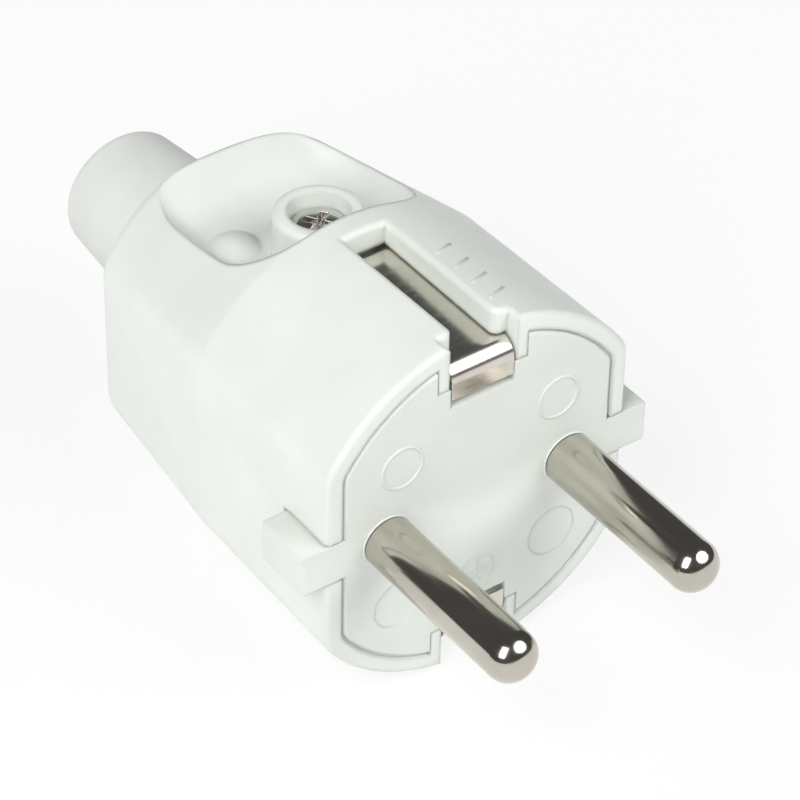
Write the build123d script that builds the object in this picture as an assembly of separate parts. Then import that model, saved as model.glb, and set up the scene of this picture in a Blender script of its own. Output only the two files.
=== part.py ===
from build123d import *
from math import sqrt
import os

# Rewirable earthed plug with two round pins, side earth clips and a cord sleeve.
# Millimetres. The origin is the middle of the pin face, -Y is the way the pins point,
# +Y leads to the cord and +Z is the side of the cover screw.

# Pins, each with a thinner neck inside the pin face and a square terminal block behind it
pin_spacing = 19.0
pin_diameter = 4.8
pin_length = 19.0
pin_end_round = 2.0
pin_neck_diameter = 4.4
pin_neck_start = 0.2
pin_block_side = 6.4
pin_block_length = 10.6
pin_block_chamfer = 0.4
wire_hole = 3.0
wire_hole_depth = 7.6

# Cover, a moulded hood with flat sides that narrows a little to its shoulder and more behind it
cover_radius = 18.2
cover_half_width = 15.7
cover_corner_round = 3.0
cover_wall = 1.6
shoulder_taper = 0.4
shoulder_half_width = 15.5
shoulder_corner_round = 3.5
rear_length = 19.5
rear_top_fall = 3.3
rear_bottom_fall = 1.7
rear_flat = 1.2
rear_corner_round = 4.5
rim_chamfer = 0.4
rear_rim_round = 2.0

# Recess behind the shoulder, round the screw boss
shoulder_land = 0.1
recess_depth = 6.5
recess_half_width = 9.6
recess_slope_length = 5.5
recess_slope_rise = 1.9
recess_knee_round = 8.0
recess_corner_round = 5.0
recess_floor_round = 2.5
recess_wall = 1.5
bump_x = 5.5
bump_setback = 4.7
bump_height = 0.7
bump_sphere = 4.0
bump_foot = 0.4

# Screw boss
boss_setback = 4.1
boss_diameter = 8.2
boss_sink = 2.0
boss_edge_round = 0.6
head_sink = 3.4
pad_thickness = 1.6

# Earth slots, one above and one below, each with a wider notch in the rim
slot_width = 4.2
slot_setback = 0.75
slot_corner_round = 0.8
slot_edge_chamfer = 0.4
notch_width = 7.0
notch_depth = 1.5
notch_wall_depth = 4.8
slot_rib = 1.05

# Earth strap, one folded strip
strap_width = 6.4
strap_thickness = 0.9
strap_sink = 2.8
strap_hook = 3.3
strap_bend = 1.7

# Pin carrier
face_thickness = 2.6
face_chamfer = 0.25
hook_room = 0.8
ear_height = 4.0
ear_length = 6.0
ear_round = 0.35
trough_wall = 0.9
trough_front_y = 5.2
trough_floor = 1.2
trough_edge = 0.8
rail_width = 2.6
rail_bottom_z = -9.5
tongue_floor = 3.0
saddle_length = 6.4
saddle_height = 4.2
ridge_height = 1.0
ridge_width = 1.2
ridge_half = 4.0
mark_x = 8.2
mark_z = -7.9
mark_diameter = 5.0
mark_depth = 0.15

# Pin retainer
retainer_thickness = 0.9

# Cord grip and its screws
cord_z = -1.4
cord_diameter = 8.0
grip_setback = 4.3
grip_length = 5.0
grip_thickness = 3.0
grip_bite = 1.0
grip_corner_round = 1.25
grip_screw_edge = 3.5
ridge_spacing = 3.4

# Cable sleeve
sleeve_base_diameter = 15.5
sleeve_end_diameter = 12.5
sleeve_length = 17.0
sleeve_neck_diameter = 14.4
sleeve_flange_diameter = 18.6
sleeve_flange_thickness = 1.2
sleeve_bore = 8.4
sleeve_end_round = 0.5

# Screws and nuts
thread = 3.0
thread_chamfer = 0.4
pan_head_diameter = 5.4
pan_head_height = 2.1
pan_head_round = 0.9
small_head_diameter = 5.0
small_head_height = 1.5
small_head_slot = 0.75
slot_cut = 0.8
cover_screw_length = 8.4
cover_screw_turn = 35
terminal_screw_length = 3.0
earth_screw_length = 6.5
grip_screw_length = 12.6
cross_width = 0.75
cross_length = 3.0
cross_depth = 1.1
nut_side = 5.5
nut_thickness = 2.0
washer_side = 6.4
washer_thickness = 0.9
washer_corner_round = 0.8

# Clearances
carrier_gap = 0.25
seat_gap = 0.05
slide_gap = 0.1
rib_gap = 0.15
ear_gap = 0.2
strap_gap = 0.35
tongue_gap = 0.55
sleeve_gap = 0.35

# How far cutting tools run past the faces that they cut
past = 1.0

# Places along Y worked out from the sizes above, from the pins' blocks back to the sleeve
pin_x = pin_spacing / 2
block_half = pin_block_side / 2
block_front_y = trough_front_y + seat_gap
block_rear_y = block_front_y + pin_block_length
retainer_front_y = block_rear_y + seat_gap
retainer_rear_y = retainer_front_y + retainer_thickness
strap_front_y = retainer_rear_y + seat_gap
strap_rear_y = strap_front_y + strap_thickness
slot_end_y = strap_rear_y - slot_setback
recess_front_y = strap_rear_y + strap_gap + recess_wall
shoulder_y = recess_front_y - shoulder_land
boss_y = recess_front_y + boss_setback
bump_y = boss_y + bump_setback
cover_length = shoulder_y + rear_length
recess_knee_y = cover_length - recess_slope_length
inner_rear_y = cover_length - cover_wall
sleeve_flange_rear_y = inner_rear_y - seat_gap
sleeve_flange_front_y = sleeve_flange_rear_y - sleeve_flange_thickness
sleeve_end_y = cover_length + sleeve_length
tongue_end_y = sleeve_flange_front_y - sleeve_gap
grip_y = tongue_end_y - grip_setback
saddle_rear_y = boss_y + saddle_length / 2
saddle_front_y = boss_y - saddle_length / 2

# Heights and widths worked out in the same way, from the hood inwards
shoulder_radius = cover_radius - shoulder_taper
rear_top_radius = shoulder_radius - rear_top_fall
rear_bottom_radius = shoulder_radius - rear_bottom_fall
rear_half_width = rear_top_radius - rear_flat
carrier_radius = cover_radius - cover_wall - carrier_gap
carrier_half_width = cover_half_width - cover_wall - carrier_gap
strap_reach = cover_radius - strap_sink
strap_end_z = strap_reach - strap_hook
strap_inner_z = strap_reach - strap_thickness
strap_inner_bend = strap_bend - strap_thickness
rib_bottom_z = strap_reach + rib_gap
notch_wall_z = cover_radius - notch_wall_depth
face_step_z = notch_wall_z - rib_gap
hook_seat_z = strap_end_z - hook_room
spine_half = strap_width / 2
spine_top_z = strap_inner_z - seat_gap
recess_floor_z = shoulder_radius - recess_depth
boss_top_z = shoulder_radius - boss_sink
head_seat_z = boss_top_z - head_sink
pad_bottom_z = recess_floor_z - pad_thickness
saddle_top_z = pad_bottom_z - seat_gap
saddle_nut_z = saddle_top_z - saddle_height / 2
trough_inner = block_half + slide_gap
trough_outer = block_half + trough_floor
post_top_z = cord_z + cord_diameter / 2 - grip_bite - seat_gap
grip_bottom_z = post_top_z + seat_gap
grip_top_z = grip_bottom_z + grip_thickness
screw_hole = thread / 2 + seat_gap


# Helpers

def block(x_low, x_high, y_low, y_high, z_low, z_high):
    """A box given by its limits."""
    size = (x_high - x_low, y_high - y_low, z_high - z_low)
    centre = ((x_low + x_high) / 2, (y_low + y_high) / 2, (z_low + z_high) / 2)
    return Pos(*centre) * Box(*size)


def rod_y(radius, y_low, y_high, x=0.0, z=0.0):
    """A round bar along Y."""
    bar = Cylinder(radius, y_high - y_low)
    return Pos(x, (y_low + y_high) / 2, z) * Rot(90, 0, 0) * bar


def rod_z(radius, z_low, z_high, x=0.0, y=0.0):
    """A round bar along Z."""
    return Pos(x, y, (z_low + z_high) / 2) * Cylinder(radius, z_high - z_low)


def at_y(shape, y):
    """The edges of a shape that lie in one plane square to Y."""
    return shape.edges().filter_by_position(Axis.Y, y - seat_gap, y + seat_gap)


def section(y, top_radius, bottom_radius, half_width, corner):
    """A round outline with flat sides, square to Y."""
    z_top = sqrt(top_radius ** 2 - half_width ** 2)
    z_bottom = -sqrt(bottom_radius ** 2 - half_width ** 2)
    outline = Curve() + [
        ThreePointArc((half_width, z_top), (0, top_radius), (-half_width, z_top)),
        Line((-half_width, z_top), (-half_width, z_bottom)),
        ThreePointArc((-half_width, z_bottom), (0, -bottom_radius), (half_width, z_bottom)),
        Line((half_width, z_bottom), (half_width, z_top)),
    ]
    face = make_face(outline)
    face = fillet(face.vertices(), corner)
    plane = Plane(origin=(0, y, 0), x_dir=(-1, 0, 0), z_dir=(0, 1, 0))
    return plane * face


def along(y, front, shoulder, rear):
    """A size of the hood that changes evenly from its front to the shoulder and on to its rear."""
    if y < shoulder_y:
        return front + (shoulder - front) * y / shoulder_y
    return shoulder + (rear - shoulder) * (y - shoulder_y) / rear_length


def bottom_radius_at(y):
    """The radius of the hood's lower half at one place along Y."""
    return along(y, cover_radius, shoulder_radius, rear_bottom_radius)


def hood_section(y, inset):
    """The hood's outline at one place along Y, made smaller by the inset."""
    top = along(y, cover_radius, shoulder_radius, rear_top_radius)
    bottom = bottom_radius_at(y)
    half_width = along(y, cover_half_width, shoulder_half_width, rear_half_width)
    corner = along(y, cover_corner_round, shoulder_corner_round, rear_corner_round)
    return section(y, top - inset, bottom - inset, half_width - inset, corner - inset).face()


def hood_part(y_front, y_rear, inset=0.0):
    """The hood's form between two places along Y, made smaller by the inset."""
    return loft([hood_section(y_front, inset), hood_section(y_rear, inset)], ruled=True)


def tongue_corner_x():
    """Half the width that the hood leaves for the tongue at the height of its bottom."""
    room = bottom_radius_at(tongue_end_y) - cover_wall - tongue_gap
    return sqrt(room ** 2 - rail_bottom_z ** 2)


tongue_half_width = tongue_corner_x()
grip_screw_x = tongue_half_width - grip_screw_edge


def slot_room(z_low):
    """The room of the upper earth slot and its notch, from a height to far above the hood."""
    slot_half = slot_width / 2
    notch_half = notch_width / 2
    plan = make_face(Polyline(
        (-notch_half, -past), (notch_half, -past), (notch_half, notch_depth),
        (slot_half, notch_depth), (slot_half, slot_end_y), (-slot_half, slot_end_y),
        (-slot_half, notch_depth), (-notch_half, notch_depth), close=True))
    inner = plan.vertices().filter_by_position(Axis.X, -slot_half, slot_half).sort_by(Axis.Y)[:2]
    plan = fillet(inner, slot_corner_round)
    return extrude(Pos(0, 0, z_low) * plan, 2 * cover_radius - z_low)


def recess(inset):
    """The room cut out behind the shoulder. The inset makes it larger by one wall."""
    front_y = recess_front_y - inset
    floor_z = recess_floor_z - inset
    half_width = recess_half_width + inset
    high_z = 2 * cover_radius
    end_y = cover_length + past
    end_z = floor_z + recess_slope_rise * (end_y - recess_knee_y) / recess_slope_length
    side = make_face(Plane.YZ * Polyline(
        (front_y, floor_z), (recess_knee_y, floor_z), (end_y, end_z), (end_y, high_z),
        (front_y, high_z), close=True))
    room = extrude(side, half_width, both=True)
    knee = at_y(room, recess_knee_y).filter_by(Axis.X)
    room = fillet(knee, recess_knee_round)
    corners = at_y(room, front_y).filter_by(Axis.Z)
    room = fillet(corners, recess_corner_round + inset)
    foot = at_y(room, front_y).filter_by(Axis.X).sort_by(Axis.Z)[:1]
    return fillet(foot, recess_floor_round + inset)


def pan_screw(length):
    """A screw with a domed head and a cross recess, head up, with its seat at the origin."""
    head = rod_z(pan_head_diameter / 2, 0, pan_head_height)
    head = fillet(head.edges().sort_by(Axis.Z)[-1], pan_head_round)
    screw = head + rod_z(thread / 2, -length, 0)
    screw = chamfer(screw.edges().sort_by(Axis.Z)[0], thread_chamfer)
    floor_z = pan_head_height - cross_depth
    for turn in (0, 90):
        arm = block(-cross_length / 2, cross_length / 2, -cross_width / 2, cross_width / 2,
                    floor_z, pan_head_height + past)
        screw -= Rot(0, 0, turn) * arm
    return screw


def slotted_screw(length):
    """A screw with a cylinder head and one slot, head up, with its seat at the origin."""
    screw = rod_z(small_head_diameter / 2, 0, small_head_height) + rod_z(thread / 2, -length, 0)
    screw = chamfer(screw.edges().sort_by(Axis.Z)[0], thread_chamfer)
    return screw - block(-small_head_diameter, small_head_diameter, -slot_cut / 2, slot_cut / 2,
                         small_head_height - small_head_slot, small_head_height + past)


def square_nut():
    """A square nut, flat on XY, centred on the origin."""
    return Box(nut_side, nut_side, nut_thickness) - rod_z(screw_hole, -nut_thickness, nut_thickness)


# Sub-parts

def make_hood():
    """The hood's outer form with its chamfered rim, rounded rear and the two earth slots."""
    front = hood_part(0, shoulder_y)
    front = chamfer(at_y(front, 0), rim_chamfer)
    for room in (slot_room(notch_wall_z), mirror(slot_room(notch_wall_z), Plane.XY)):
        front -= room
    reach = notch_width / 2 + seat_gap
    edges = front.edges().filter_by_position(Axis.X, -reach, reach)
    edges = edges.filter_by_position(Axis.Y, rim_chamfer, slot_end_y + seat_gap)
    low_z = cover_radius - notch_depth
    upper = edges.filter_by_position(Axis.Z, low_z, cover_radius)
    lower = edges.filter_by_position(Axis.Z, -cover_radius, -low_z)
    front = chamfer(upper + lower, slot_edge_chamfer)
    rear = hood_part(shoulder_y, cover_length)
    rear = fillet(at_y(rear, cover_length), rear_rim_round)
    return front + rear


def make_slot_walls():
    """Walls beside the upper slot and its notch, down from the hood to just above the strap."""
    rib_half = slot_width / 2 + slot_rib
    notch_half = notch_width / 2
    wall_half = notch_half + slot_rib
    wing_rear_y = notch_depth + slot_rib
    walls = block(-rib_half, rib_half, notch_depth, slot_end_y + slot_rib, rib_bottom_z, cover_radius)
    wing = block(-wall_half, wall_half, 0, wing_rear_y, notch_wall_z, cover_radius)
    room = block(-notch_half, notch_half, -past, wing_rear_y + past, notch_wall_z - past, rib_bottom_z)
    return walls + (wing - room)


def make_cover():
    """Hollow hood: outer form, cavity, recess, boss, slot walls, ear notches, sleeve hole."""
    outer = make_hood()
    inner = hood_part(0, shoulder_y, cover_wall) + hood_part(shoulder_y, inner_rear_y, cover_wall)
    shell = outer - (inner - recess(recess_wall)) - recess(0)
    walls = make_slot_walls()
    shell += (walls + mirror(walls, Plane.XY)) & outer

    # screw boss with the pad below it, and the two low bumps beside it
    boss = rod_z(boss_diameter / 2, pad_bottom_z, boss_top_z, y=boss_y)
    shell += fillet(boss.edges().sort_by(Axis.Z)[-1], boss_edge_round)
    for side in (1, -1):
        centre_z = recess_floor_z + bump_height - bump_sphere
        dome = Pos(side * bump_x, bump_y, centre_z) * Sphere(bump_sphere)
        cap = block(-cover_radius, cover_radius, shoulder_y, cover_length,
                    recess_floor_z - bump_foot, cover_radius)
        shell += dome & cap
    head_room = pan_head_diameter / 2 + slide_gap
    shell -= rod_z(head_room, head_seat_z, boss_top_z + past, y=boss_y)
    shell -= rod_z(screw_hole, pad_bottom_z - past, head_seat_z + past, y=boss_y)

    # notches for the ears, and the hole for the sleeve's neck
    ear_half = ear_height / 2 + ear_gap
    for side in (1, -1):
        low, high = sorted((side * carrier_half_width / 2, side * 2 * cover_radius))
        shell -= block(low, high, -past, ear_length + ear_gap, -ear_half, ear_half)
    neck_room = sleeve_neck_diameter / 2 + slide_gap
    return shell - rod_y(neck_room, inner_rear_y - past, cover_length + past, z=cord_z)


def make_face_plate():
    """The carrier's front plate with its two ears, and the steps that leave room for the slots."""
    corner = cover_corner_round - cover_wall
    face = section(0, carrier_radius, carrier_radius, carrier_half_width, corner)
    plate = extrude(face, amount=face_thickness)
    plate = chamfer(at_y(plate, 0), face_chamfer)
    step_half = notch_width / 2 + slot_rib + slide_gap
    for side in (1, -1):
        low, high = sorted((side * carrier_half_width / 2, side * cover_radius))
        ear = block(low, high, 0, ear_length, -ear_height / 2, ear_height / 2)
        tip = ear.faces().sort_by(Axis.X)[-1 if side > 0 else 0]
        plate += fillet(tip.edges(), ear_round)
        low, high = sorted((side * face_step_z, side * cover_radius))
        plate -= block(-step_half, step_half, -past, face_thickness + past, low, high)
    return plate


def make_pin_carrier():
    """Insert with the pin face, ears, terminal troughs, strap spine, rails and tongue."""
    carrier = make_face_plate()

    # the strap runs over the spine and its ends hook over the face
    hook_half = strap_width / 2 + slide_gap
    carrier += block(-spine_half, spine_half, 0, block_rear_y, -spine_top_z, spine_top_z)
    for side in (1, -1):
        low, high = sorted((side * hook_seat_z, side * cover_radius))
        carrier -= block(-hook_half, hook_half, -past, strap_thickness + seat_gap, low, high)
        low, high = sorted((side * (strap_inner_z - strap_inner_bend), side * cover_radius))
        carrier -= block(-hook_half, hook_half, -past, strap_bend + seat_gap, low, high)

    # troughs for the pins' blocks, open on top for the terminal screws
    for side in (1, -1):
        inner_x = pin_x - trough_inner - trough_wall
        outer_x = pin_x + trough_inner + trough_wall
        trough = block(inner_x, outer_x, 0, block_rear_y, -trough_outer, trough_outer)
        outer_edges = trough.edges().filter_by(Axis.Y).sort_by(Axis.X)[-2:]
        trough = chamfer(outer_edges, trough_edge)
        carrier += trough if side > 0 else mirror(trough, Plane.YZ)
        low, high = sorted((side * (pin_x - trough_inner), side * (pin_x + trough_inner)))
        carrier -= block(low, high, trough_front_y, block_rear_y + past, -trough_inner, cover_radius)
        carrier -= rod_y(pin_diameter / 2 + seat_gap, -past, trough_front_y + past, x=side * pin_x)

    # rails and tongue that carry the cord grip, and the saddle for the cover screw
    outer_x = tongue_half_width
    inner_x = outer_x - rail_width
    post_half = grip_length / 2
    for side in (1, -1):
        low, high = sorted((side * inner_x, side * outer_x))
        carrier += block(low, high, 0, tongue_end_y, rail_bottom_z, -trough_outer)
        carrier += block(low, high, saddle_front_y, saddle_rear_y, rail_bottom_z, saddle_top_z)
        low, high = sorted((side * (grip_screw_x - post_half), side * outer_x))
        carrier += block(low, high, grip_y - post_half, grip_y + post_half, rail_bottom_z, post_top_z)
    tongue_top_z = rail_bottom_z + tongue_floor
    carrier += block(-outer_x, outer_x, saddle_rear_y, tongue_end_y, rail_bottom_z, tongue_top_z)
    carrier += block(-outer_x, outer_x, saddle_front_y, saddle_rear_y,
                     saddle_top_z - saddle_height, saddle_top_z)
    for place in (-1, 1):
        ridge_y = grip_y + place * ridge_spacing / 2
        carrier += block(-ridge_half, ridge_half, ridge_y - ridge_width / 2, ridge_y + ridge_width / 2,
                         rail_bottom_z, tongue_top_z + ridge_height)

    # holes and nut pockets for the cover screw, the grip screws and the earth screw
    pocket = nut_side / 2 + slide_gap
    nut_room = nut_thickness / 2 + slide_gap
    carrier -= rod_z(screw_hole, saddle_top_z - saddle_height - past, saddle_top_z + past, y=boss_y)
    carrier -= block(-pocket, pocket, boss_y - pocket, saddle_rear_y + past,
                     saddle_nut_z - nut_room, saddle_nut_z + nut_room)
    for side in (1, -1):
        post_x = side * grip_screw_x
        carrier -= rod_z(screw_hole, rail_bottom_z - past, post_top_z + past, x=post_x, y=grip_y)
        carrier -= block(post_x - pocket, post_x + pocket, grip_y - pocket, grip_y + pocket,
                         rail_bottom_z - past, rail_bottom_z + nut_thickness + slide_gap)
    nut_front_y = block_rear_y - nut_thickness
    screw_end_y = strap_rear_y - earth_screw_length
    carrier -= rod_y(screw_hole, screw_end_y, block_rear_y + past)
    carrier -= block(-pocket, pocket, nut_front_y - seat_gap, block_rear_y + past, -pocket, pocket)

    # two shallow round marks on the face
    for side in (1, -1):
        carrier -= rod_y(mark_diameter / 2, -past, mark_depth, x=side * mark_x, z=mark_z)
    return carrier


def make_pin(side):
    """Round pin with a square terminal block: wire hole from behind, screw hole from above."""
    shaft = rod_y(pin_diameter / 2, -pin_length, -pin_neck_start)
    shaft = fillet(shaft.edges().sort_by(Axis.Y)[0], pin_end_round)
    neck = rod_y(pin_neck_diameter / 2, -pin_length / 2, block_front_y + past)
    head = block(-block_half, block_half, block_front_y, block_rear_y, -block_half, block_half)
    head = chamfer(head.edges().filter_by(Axis.Y), pin_block_chamfer)
    pin = shaft + neck + head
    pin -= rod_y(wire_hole / 2, block_rear_y - wire_hole_depth, block_rear_y + past)
    pin -= rod_z(screw_hole, 0, block_half + past, y=(block_front_y + block_rear_y) / 2)
    return Pos(side * pin_x, 0, 0) * pin


def make_terminal_screw(side):
    """Screw in the pin's block, backed off so that the wire hole is open."""
    place = Pos(side * pin_x, (block_front_y + block_rear_y) / 2, wire_hole / 2 + terminal_screw_length)
    return place * slotted_screw(terminal_screw_length)


def make_earth_strap():
    """One folded strip: a band round the spine, open at the front between its two hooks."""
    outer = block(-strap_width / 2, strap_width / 2, 0, strap_rear_y, -strap_reach, strap_reach)
    outer = fillet(outer.edges().filter_by(Axis.X), strap_bend)
    inner = block(-strap_width, strap_width, strap_thickness, strap_front_y, -strap_inner_z, strap_inner_z)
    inner = fillet(inner.edges().filter_by(Axis.X), strap_inner_bend)
    gap = block(-strap_width, strap_width, -past, 2 * strap_thickness, -strap_end_z, strap_end_z)
    return outer - inner - gap - rod_y(screw_hole, strap_front_y - past, strap_rear_y + past)


def make_earth_washer():
    """Square washer that clamps the earth wire on the strap."""
    front_y = strap_rear_y + seat_gap
    plate = block(-washer_side / 2, washer_side / 2, front_y, front_y + washer_thickness,
                  -washer_side / 2, washer_side / 2)
    plate = fillet(plate.edges().filter_by(Axis.Y), washer_corner_round)
    return plate - rod_y(screw_hole, front_y - past, front_y + washer_thickness + past)


def make_earth_screw():
    """Screw along Y through the washer, strap and retainer into the nut in the spine."""
    seat_y = strap_rear_y + washer_thickness + 2 * seat_gap
    return Pos(0, seat_y, 0) * Rot(-90, 0, 0) * slotted_screw(earth_screw_length)


def make_earth_nut():
    return Pos(0, block_rear_y - nut_thickness / 2, 0) * Rot(90, 0, 0) * square_nut()


def make_pin_retainer():
    """Plate behind the pins' blocks, held by the strap, with a hole for each wire."""
    reach = pin_x + trough_inner + trough_wall
    plate = block(-reach, reach, retainer_front_y, retainer_rear_y, -trough_outer, trough_outer)
    plate = fillet(plate.edges().filter_by(Axis.Y), trough_edge)
    for side in (1, -1):
        plate -= rod_y(wire_hole / 2, retainer_front_y - past, retainer_rear_y + past, x=side * pin_x)
    return plate - rod_y(screw_hole, retainer_front_y - past, retainer_rear_y + past)


def make_cover_screw():
    return Pos(0, boss_y, head_seat_z + seat_gap) * Rot(0, 0, cover_screw_turn) * pan_screw(cover_screw_length)


def make_cover_nut():
    return Pos(0, boss_y, saddle_nut_z) * square_nut()


def make_cord_grip():
    """Bar over the cord, arched underneath, with a screw hole at each end."""
    reach = tongue_half_width
    half = grip_length / 2
    bar = block(-reach, reach, grip_y - half, grip_y + half, grip_bottom_z, grip_top_z)
    bar = fillet(bar.edges().filter_by(Axis.Z), grip_corner_round)
    bar -= rod_y(cord_diameter / 2, grip_y - grip_length, grip_y + grip_length, z=cord_z)
    for side in (1, -1):
        bar -= rod_z(screw_hole, grip_bottom_z - past, grip_top_z + past, x=side * grip_screw_x, y=grip_y)
    return bar


def make_grip_screw(side):
    place = Pos(side * grip_screw_x, grip_y, grip_top_z + seat_gap)
    return place * slotted_screw(grip_screw_length)


def make_grip_nut(side):
    return Pos(side * grip_screw_x, grip_y, rail_bottom_z + nut_thickness / 2) * square_nut()


def make_cable_sleeve():
    """Turned form: flange inside the cover, neck in its wall, cone outside, bore for the cord."""
    cone_start = cover_length + seat_gap
    bore = sleeve_bore / 2
    neck = sleeve_neck_diameter / 2
    flange = sleeve_flange_diameter / 2
    end = sleeve_end_diameter / 2
    profile = make_face(Polyline(
        (bore, sleeve_flange_front_y), (flange, sleeve_flange_front_y), (flange, sleeve_flange_rear_y),
        (neck, sleeve_flange_rear_y), (neck, cone_start), (sleeve_base_diameter / 2, cone_start),
        (end, sleeve_end_y), (bore, sleeve_end_y), close=True))
    rim = profile.vertices().sort_by(Axis.Y)[-2:].sort_by(Axis.X)[-1]
    profile = fillet(rim, sleeve_end_round)
    return Pos(0, 0, cord_z) * revolve(profile, Axis.Y)


PARTS = {
    "cover": make_cover,
    "pin_carrier": make_pin_carrier,
    "line_pin": lambda: make_pin(-1),
    "neutral_pin": lambda: make_pin(1),
    "line_terminal_screw": lambda: make_terminal_screw(-1),
    "neutral_terminal_screw": lambda: make_terminal_screw(1),
    "earth_strap": make_earth_strap,
    "earth_washer": make_earth_washer,
    "earth_screw": make_earth_screw,
    "earth_nut": make_earth_nut,
    "pin_retainer": make_pin_retainer,
    "cover_screw": make_cover_screw,
    "cover_nut": make_cover_nut,
    "cord_grip": make_cord_grip,
    "cord_grip_screw_left": lambda: make_grip_screw(-1),
    "cord_grip_screw_right": lambda: make_grip_screw(1),
    "cord_grip_nut_left": lambda: make_grip_nut(-1),
    "cord_grip_nut_right": lambda: make_grip_nut(1),
    "cable_sleeve": make_cable_sleeve,
}

os.makedirs("parts", exist_ok=True)
for name, make in PARTS.items():
    export_step(make(), f"parts/{name}.step")
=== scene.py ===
import math

import bmesh
import bpy
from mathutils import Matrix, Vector


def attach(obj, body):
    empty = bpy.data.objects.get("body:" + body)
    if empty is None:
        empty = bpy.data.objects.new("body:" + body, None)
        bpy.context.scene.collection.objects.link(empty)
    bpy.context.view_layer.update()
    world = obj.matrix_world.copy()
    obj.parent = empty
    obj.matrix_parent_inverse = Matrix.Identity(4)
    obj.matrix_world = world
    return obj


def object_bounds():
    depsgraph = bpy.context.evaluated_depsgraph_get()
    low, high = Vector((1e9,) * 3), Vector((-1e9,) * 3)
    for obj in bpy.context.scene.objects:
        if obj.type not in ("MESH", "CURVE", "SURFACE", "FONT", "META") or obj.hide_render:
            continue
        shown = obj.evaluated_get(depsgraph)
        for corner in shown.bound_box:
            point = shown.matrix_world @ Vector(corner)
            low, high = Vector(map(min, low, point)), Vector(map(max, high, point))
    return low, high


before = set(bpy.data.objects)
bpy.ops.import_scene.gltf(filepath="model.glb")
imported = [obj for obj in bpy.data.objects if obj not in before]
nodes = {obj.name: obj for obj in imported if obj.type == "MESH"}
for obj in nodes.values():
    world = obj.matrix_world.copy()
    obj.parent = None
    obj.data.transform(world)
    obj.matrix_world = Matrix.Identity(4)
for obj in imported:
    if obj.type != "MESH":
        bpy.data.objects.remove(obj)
cad_box = [[round(v, 6) for v in corner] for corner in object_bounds()]

MM = 0.001

# hood and insert sizes repeated from the model, in millimetres, for relief that lies on them
HOOD_RADIUS = 18.2
SHOULDER_RADIUS = 17.8
SHOULDER_Y = 19.5
PIN_X = 9.5
FACE_RADIUS = 16.35
FACE_HALF_WIDTH = 13.85
FACE_GAP = 0.25
NOTCH_REACH = 4.7
EAR_REACH = 2.3


# Materials, with lengths in metres and noise scales per metre

USUAL_LOW = 0.3
USUAL_HIGH = 0.7
BEVEL_SAMPLES = 6


class Nodes:
    """A material's node tree with short calls for adding and linking nodes."""

    def __init__(self, name):
        self.material = bpy.data.materials.new(name)
        self.material.use_nodes = True
        self.tree = self.material.node_tree
        self.shader = self.tree.nodes["Principled BSDF"]
        self.place = self.tree.nodes.new("ShaderNodeTexCoord").outputs["Object"]

    def add(self, kind, **inputs):
        node = self.tree.nodes.new(kind)
        for key, value in inputs.items():
            self.set(node.inputs[key.replace("_", " ")], value)
        return node

    def set(self, socket, value):
        if isinstance(value, bpy.types.NodeSocket):
            self.tree.links.new(value, socket)
        else:
            socket.default_value = value

    def noise(self, scale, detail, stretch=(1, 1, 1)):
        mapping = self.add("ShaderNodeMapping", Vector=self.place, Scale=stretch)
        noise = self.add("ShaderNodeTexNoise", Vector=mapping.outputs[0], Scale=scale, Detail=detail)
        return noise.outputs["Fac"]

    def spread(self, value, low, high):
        """A noise's usual range mapped to low and high."""
        node = self.add("ShaderNodeMapRange", Value=value)
        node.inputs["From Min"].default_value = USUAL_LOW
        node.inputs["From Max"].default_value = USUAL_HIGH
        node.inputs["To Min"].default_value = low
        node.inputs["To Max"].default_value = high
        return node.outputs[0]

    def tones(self, value, dark, light):
        """A noise's usual range mapped from a dark colour to a light one."""
        ramp = self.add("ShaderNodeValToRGB", Fac=value)
        ramp.color_ramp.elements[0].position = USUAL_LOW
        ramp.color_ramp.elements[0].color = (*dark, 1)
        ramp.color_ramp.elements[1].position = USUAL_HIGH
        ramp.color_ramp.elements[1].color = (*light, 1)
        return ramp.outputs["Color"]

    def maths(self, operation, first, second):
        node = self.tree.nodes.new("ShaderNodeMath")
        node.operation = operation
        self.set(node.inputs[0], first)
        self.set(node.inputs[1], second)
        return node.outputs[0]

    def bump(self, height, distance, normal):
        return self.add("ShaderNodeBump", Height=height, Distance=distance, Normal=normal).outputs["Normal"]

    def rounded_edges(self, radius):
        node = self.add("ShaderNodeBevel", Radius=radius)
        node.samples = BEVEL_SAMPLES
        return node.outputs[0]


def moulded(name, dark, light, roughness, grain, grain_height, edge):
    """Moulded plastic or rubber: slight tone change, faint waves, fine grain and softly worn edges."""
    tone_scale = 140
    sheen_scale = 900
    wave_scale = 90
    wave_height = 0.00002

    n = Nodes(name)
    n.set(n.shader.inputs["Base Color"], n.tones(n.noise(tone_scale, 3), dark, light))
    n.set(n.shader.inputs["Roughness"], n.spread(n.noise(sheen_scale, 3), *roughness))
    n.set(n.shader.inputs["Specular IOR Level"], 0.5)
    waves = n.bump(n.noise(wave_scale, 1), wave_height, n.rounded_edges(edge))
    n.set(n.shader.inputs["Normal"], n.bump(n.noise(grain, 2), grain_height, waves))
    return n.material


def metal(name, dark, light, roughness, edge, stretch=(1, 1, 1)):
    """Plated metal: faint tone change and fine marks, drawn out along one way by the stretch."""
    tone_scale = 220
    sheen_scale = 1600
    mark_scale = 2200
    mark_height = 0.0000012

    n = Nodes(name)
    n.set(n.shader.inputs["Metallic"], 1.0)
    n.set(n.shader.inputs["Base Color"], n.tones(n.noise(tone_scale, 3), dark, light))
    n.set(n.shader.inputs["Roughness"], n.spread(n.noise(sheen_scale, 3, stretch), *roughness))
    marks = n.bump(n.noise(mark_scale, 2, stretch), mark_height, n.rounded_edges(edge))
    n.set(n.shader.inputs["Normal"], marks)
    return n.material


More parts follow.
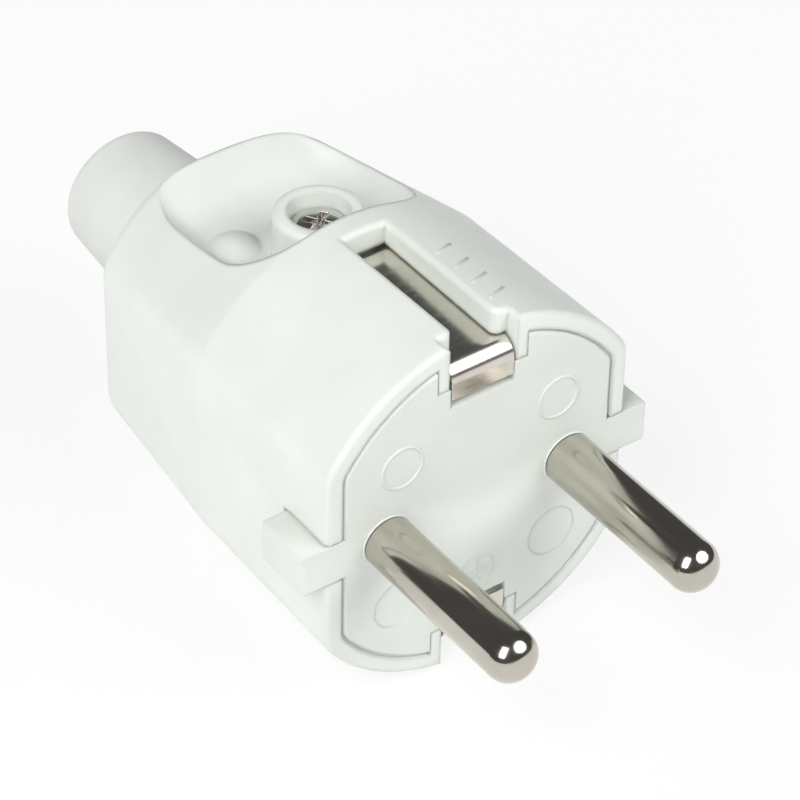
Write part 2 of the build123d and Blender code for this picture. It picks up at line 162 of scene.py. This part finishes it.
white_cover = moulded(
    "white_cover",
    dark=(0.74, 0.785, 0.735),
    light=(0.79, 0.83, 0.78),
    roughness=(0.34, 0.46),
    grain=3000,
    grain_height=0.000004,
    edge=0.0006,
)
white_insert = moulded(
    "white_insert",
    dark=(0.70, 0.735, 0.69),
    light=(0.745, 0.78, 0.735),
    roughness=(0.40, 0.52),
    grain=2600,
    grain_height=0.000005,
    edge=0.00025,
)
white_sleeve = moulded(
    "white_sleeve",
    dark=(0.71, 0.735, 0.70),
    light=(0.76, 0.785, 0.75),
    roughness=(0.55, 0.68),
    grain=3600,
    grain_height=0.000008,
    edge=0.0006,
)
grey_plastic = moulded(
    "grey_plastic",
    dark=(0.24, 0.25, 0.25),
    light=(0.29, 0.30, 0.30),
    roughness=(0.45, 0.6),
    grain=2600,
    grain_height=0.000006,
    edge=0.0002,
)
nickel_pin = metal(
    "nickel_pin",
    dark=(0.50, 0.47, 0.41),
    light=(0.58, 0.55, 0.49),
    roughness=(0.10, 0.19),
    edge=0.0001,
    stretch=(1, 0.08, 1),
)
nickel_strap = metal(
    "nickel_strap",
    dark=(0.65, 0.615, 0.555),
    light=(0.74, 0.705, 0.645),
    roughness=(0.14, 0.26),
    edge=0.0001,
    stretch=(0.1, 1, 1),
)
zinc_screw = metal(
    "zinc_screw",
    dark=(0.62, 0.60, 0.57),
    light=(0.76, 0.74, 0.71),
    roughness=(0.12, 0.24),
    edge=0.00012,
)

FINISHES = {
    "cover": white_cover,
    "pin_carrier": white_insert,
    "cable_sleeve": white_sleeve,
    "pin_retainer": grey_plastic,
    "cord_grip": grey_plastic,
    "line_pin": nickel_pin,
    "neutral_pin": nickel_pin,
    "earth_strap": nickel_strap,
}
for name, node in nodes.items():
    node.data.materials.clear()
    node.data.materials.append(FINISHES.get(name, zinc_screw))


# Relief that is too fine for the model, in millimetres

FACE_SINK = 0.05
HOOD_SINK = 0.12
RING_STEPS = 72
RING_ARC_STEPS = 8
BAR_STEPS = 16
BAR_LEVELS = 4
BAR_TOP_SHARE = 0.08
LIP_STEPS = 40


def piece(name, mesh, material):
    """A new object in metres that belongs to the plug's one body."""
    bmesh.ops.recalc_face_normals(mesh, faces=mesh.faces)
    data = bpy.data.meshes.new(name)
    mesh.to_mesh(data)
    mesh.free()
    data.shade_smooth()
    made = bpy.data.objects.new(name, data)
    bpy.context.scene.collection.objects.link(made)
    data.materials.append(material)
    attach(made, "root")


def skin(mesh, loops):
    """Faces that join each closed loop of points to the next one."""
    for a, b in zip(loops, loops[1:]):
        for j in range(len(a)):
            k = (j + 1) % len(a)
            mesh.faces.new((a[j], a[k], b[k], b[j]))


def capped_skin(mesh, loops):
    skin(mesh, loops)
    mesh.faces.new(loops[0])
    mesh.faces.new(loops[-1])


def low_ring(name, x, z, radius, width, height):
    """A raised ring on the pin face, with a half-round section."""
    mesh = bmesh.new()
    loops = []
    for i in range(RING_STEPS):
        turn = 2 * math.pi * i / RING_STEPS
        loop = []
        for j in range(RING_ARC_STEPS + 1):
            slant = math.pi * j / RING_ARC_STEPS
            r = radius + width / 2 * math.cos(slant)
            y = FACE_SINK - (height + FACE_SINK) * math.sin(slant)
            loop.append(mesh.verts.new(Vector((x + r * math.cos(turn), y, z + r * math.sin(turn))) * MM))
        loops.append(loop)
    skin(mesh, loops + loops[:1])
    piece(name, mesh, white_insert)


def low_bar(mesh, start, end, width, height, sink, to_world):
    """A raised bar with rounded ends and top between two points of a flat or curved surface."""
    start, end = Vector(start), Vector(end)
    along = (end - start).normalized()
    side = Vector((-along.y, along.x))
    loops = []
    for level in range(BAR_LEVELS + 1):
        slant = math.pi / 2 * level / BAR_LEVELS
        half = width / 2 * math.cos(slant) if level < BAR_LEVELS else width * BAR_TOP_SHARE
        rise = -sink + (height + sink) * math.sin(slant)
        loop = []
        for i in range(BAR_STEPS):
            turn = 2 * math.pi * i / BAR_STEPS
            base = end if math.cos(turn) > 1e-6 else start
            p = base + along * half * math.cos(turn) + side * half * math.sin(turn)
            loop.append(mesh.verts.new(to_world(p.x, p.y, rise) * MM))
        loops.append(loop)
    capped_skin(mesh, loops)


def on_face(u, v, rise):
    """u runs along X and v along Z on the flat pin face."""
    return Vector((u, -rise, v))


def on_hood(u, v, rise):
    """u runs along Y and v across the hood, as a distance along its round top from the middle."""
    radius = HOOD_RADIUS + (SHOULDER_RADIUS - HOOD_RADIUS) * u / SHOULDER_Y
    turn = v / radius
    return Vector(((radius + rise) * math.sin(turn), u, (radius + rise) * math.cos(turn)))


def face_rings():
    """Plain rings in the places of the two marks on the pin face."""
    for label, x in (("left", -8.1), ("right", 8.2)):
        low_ring(f"{label}_face_ring", x, z=7.2, radius=2.05, width=0.4, height=0.12)


def earth_mark():
    """The generic earth sign: a stem and three bars in a ring."""
    x, z = 0.2, -8.4
    stem = 1.3
    bar_step = 0.55
    bar_halves = (1.1, 0.7, 0.3)

    low_ring("earth_mark_ring", x, z, radius=1.75, width=0.28, height=0.14)
    lines = [((x, z + stem), (x, z))]
    for i, half in enumerate(bar_halves):
        lines.append(((x - half, z - bar_step * i), (x + half, z - bar_step * i)))
    mesh = bmesh.new()
    for start, end in lines:
        low_bar(mesh, start, end, width=0.26, height=0.1, sink=FACE_SINK, to_world=on_face)
    piece("earth_mark_bars", mesh, white_insert)


def pin_beads():
    """A bead round each pin's foot."""
    for label, x in (("line", -PIN_X), ("neutral", PIN_X)):
        low_ring(f"{label}_pin_bead", x, z=0, radius=2.42, width=0.3, height=0.12)


def gap_lip(mesh, side, end):
    """A quarter of a thin strip that runs between the face plate and the hood, from slot to ear."""
    front_y = 0.35
    rear_y = 0.6
    overlap = 0.03
    inner, outer = -overlap, FACE_GAP + overlap
    start_turn = math.asin(NOTCH_REACH / FACE_RADIUS)
    end_turn = math.atan2(FACE_HALF_WIDTH, EAR_REACH)
    loops = []
    for i in range(LIP_STEPS + 1):
        turn = start_turn + (end_turn - start_turn) * i / LIP_STEPS
        loop = []
        for grow, y in ((inner, front_y), (outer, front_y), (outer, rear_y), (inner, rear_y)):
            r = min(FACE_RADIUS + grow, (FACE_HALF_WIDTH + grow) / math.sin(turn))
            loop.append(mesh.verts.new(Vector((side * r * math.sin(turn), y, end * r * math.cos(turn))) * MM))
        loops.append(loop)
    capped_skin(mesh, loops)


def face_gap_lip():
    """A lip that closes the gap between the face and the hood, in four quarters."""
    mesh = bmesh.new()
    for side in (1, -1):
        for end in (1, -1):
            gap_lip(mesh, side, end)
    piece("face_gap_lip", mesh, white_insert)


def hood_marks():
    """Short slanted bars in the place of the number beside the slot."""
    count = 4
    first_y = 3.9
    step = 2.5
    lean_back = 0.35
    lean_on = 0.55
    near, far = 3.3, 5.3

    mesh = bmesh.new()
    for i in range(count):
        y = first_y + step * i
        start, end = (y - lean_back, near), (y + lean_on, far)
        low_bar(mesh, start, end, width=0.42, height=0.14, sink=HOOD_SINK, to_world=on_hood)
    piece("hood_marks", mesh, white_cover)


face_rings()
earth_mark()
pin_beads()
face_gap_lip()
hood_marks()


# Stage, in metres: floor, world, lamps and camera

BACKDROP_SHARE = 0.8
FLOOR_REACH = 1.6
FLOOR_GAP = 0.00005
FLOOR_COLOUR = (0.93, 0.93, 0.93)
FLOOR_DARKER = 0.985


def floor_material(name, colour):
    """Pale paper that camera and shiny pieces see nearly white, with the plug's shadow kept."""
    n = Nodes(name)
    darker = tuple(c * FLOOR_DARKER for c in colour)
    n.set(n.shader.inputs["Base Color"], n.tones(n.noise(3, 2), darker, colour))
    n.set(n.shader.inputs["Roughness"], 0.9)
    n.set(n.shader.inputs["Specular IOR Level"], 0.1)
    rays = n.tree.nodes.new("ShaderNodeLightPath").outputs
    seen = n.maths("MAXIMUM", rays["Is Camera Ray"], rays["Is Glossy Ray"])
    seen = n.maths("MAXIMUM", seen, rays["Is Transmission Ray"])
    white = n.add("ShaderNodeEmission", Color=(1, 1, 1, 1), Strength=1.0)
    mix = n.add("ShaderNodeMixShader", Fac=n.maths("MULTIPLY", seen, BACKDROP_SHARE))
    n.set(mix.inputs[1], n.shader.outputs[0])
    n.set(mix.inputs[2], white.outputs[0])
    n.set(n.tree.nodes["Material Output"].inputs["Surface"], mix.outputs[0])
    return n.material


low_z = cad_box[0][2]
mesh = bmesh.new()
bmesh.ops.create_grid(mesh, x_segments=8, y_segments=8, size=FLOOR_REACH)
floor_data = bpy.data.meshes.new("floor")
mesh.to_mesh(floor_data)
mesh.free()
floor = bpy.data.objects.new("floor", floor_data)
floor.location = (0, 0, low_z - FLOOR_GAP)
bpy.context.scene.collection.objects.link(floor)
floor_data.materials.append(floor_material("floor_paper", FLOOR_COLOUR))

# a dim room, lit by two large soft lamps in front and a weak one behind
ROOM_LEVEL = 0.09
PLUG_MIDDLE = (0, 0.018, 0)

world = bpy.data.worlds.new("studio")
bpy.context.scene.world = world
world.use_nodes = True
background = world.node_tree.nodes["Background"]
background.inputs["Color"].default_value = (1, 1, 1, 1)
background.inputs["Strength"].default_value = ROOM_LEVEL


def lamp(name, place, shape, size, power, shows_in_gloss=True):
    """An area lamp that faces the plug's middle, with its power in watts."""
    data = bpy.data.lights.new(name, "AREA")
    data.shape = shape
    data.size, data.size_y = size
    data.energy = power
    made = bpy.data.objects.new(name, data)
    made.location = place
    made.rotation_euler = (Vector(PLUG_MIDDLE) - Vector(place)).to_track_quat("-Z", "Y").to_euler()
    made.visible_glossy = shows_in_gloss
    bpy.context.scene.collection.objects.link(made)


lamp("left_box", (-0.42, -0.19, 0.41), "RECTANGLE", (0.28, 0.44), power=2.9)
lamp("right_box", (0.25, -0.37, 0.42), "DISK", (0.56, 0.56), power=2.5)
lamp("rear_fill", (-0.38, 0.42, 0.42), "SQUARE", (0.35, 0.35), power=1.1, shows_in_gloss=False)

# the camera fitted to the photo, with its turn in degrees and its lens and sensor in millimetres
CAMERA_PLACE = (-0.147843, -0.187230, 0.207050)
CAMERA_TURN = (50.4979, -0.9846, -35.8442)
CAMERA_LENS = 167.56
CAMERA_SENSOR = 36

camera_data = bpy.data.cameras.new("camera")
camera_data.sensor_width = CAMERA_SENSOR
camera_data.lens = CAMERA_LENS
camera_data.clip_start = 0.01
camera = bpy.data.objects.new("camera", camera_data)
camera.location = CAMERA_PLACE
camera.rotation_euler = [math.radians(a) for a in CAMERA_TURN]
bpy.context.scene.collection.objects.link(camera)
bpy.context.scene.camera = camera
bpy.context.scene.view_settings.view_transform = "Standard"
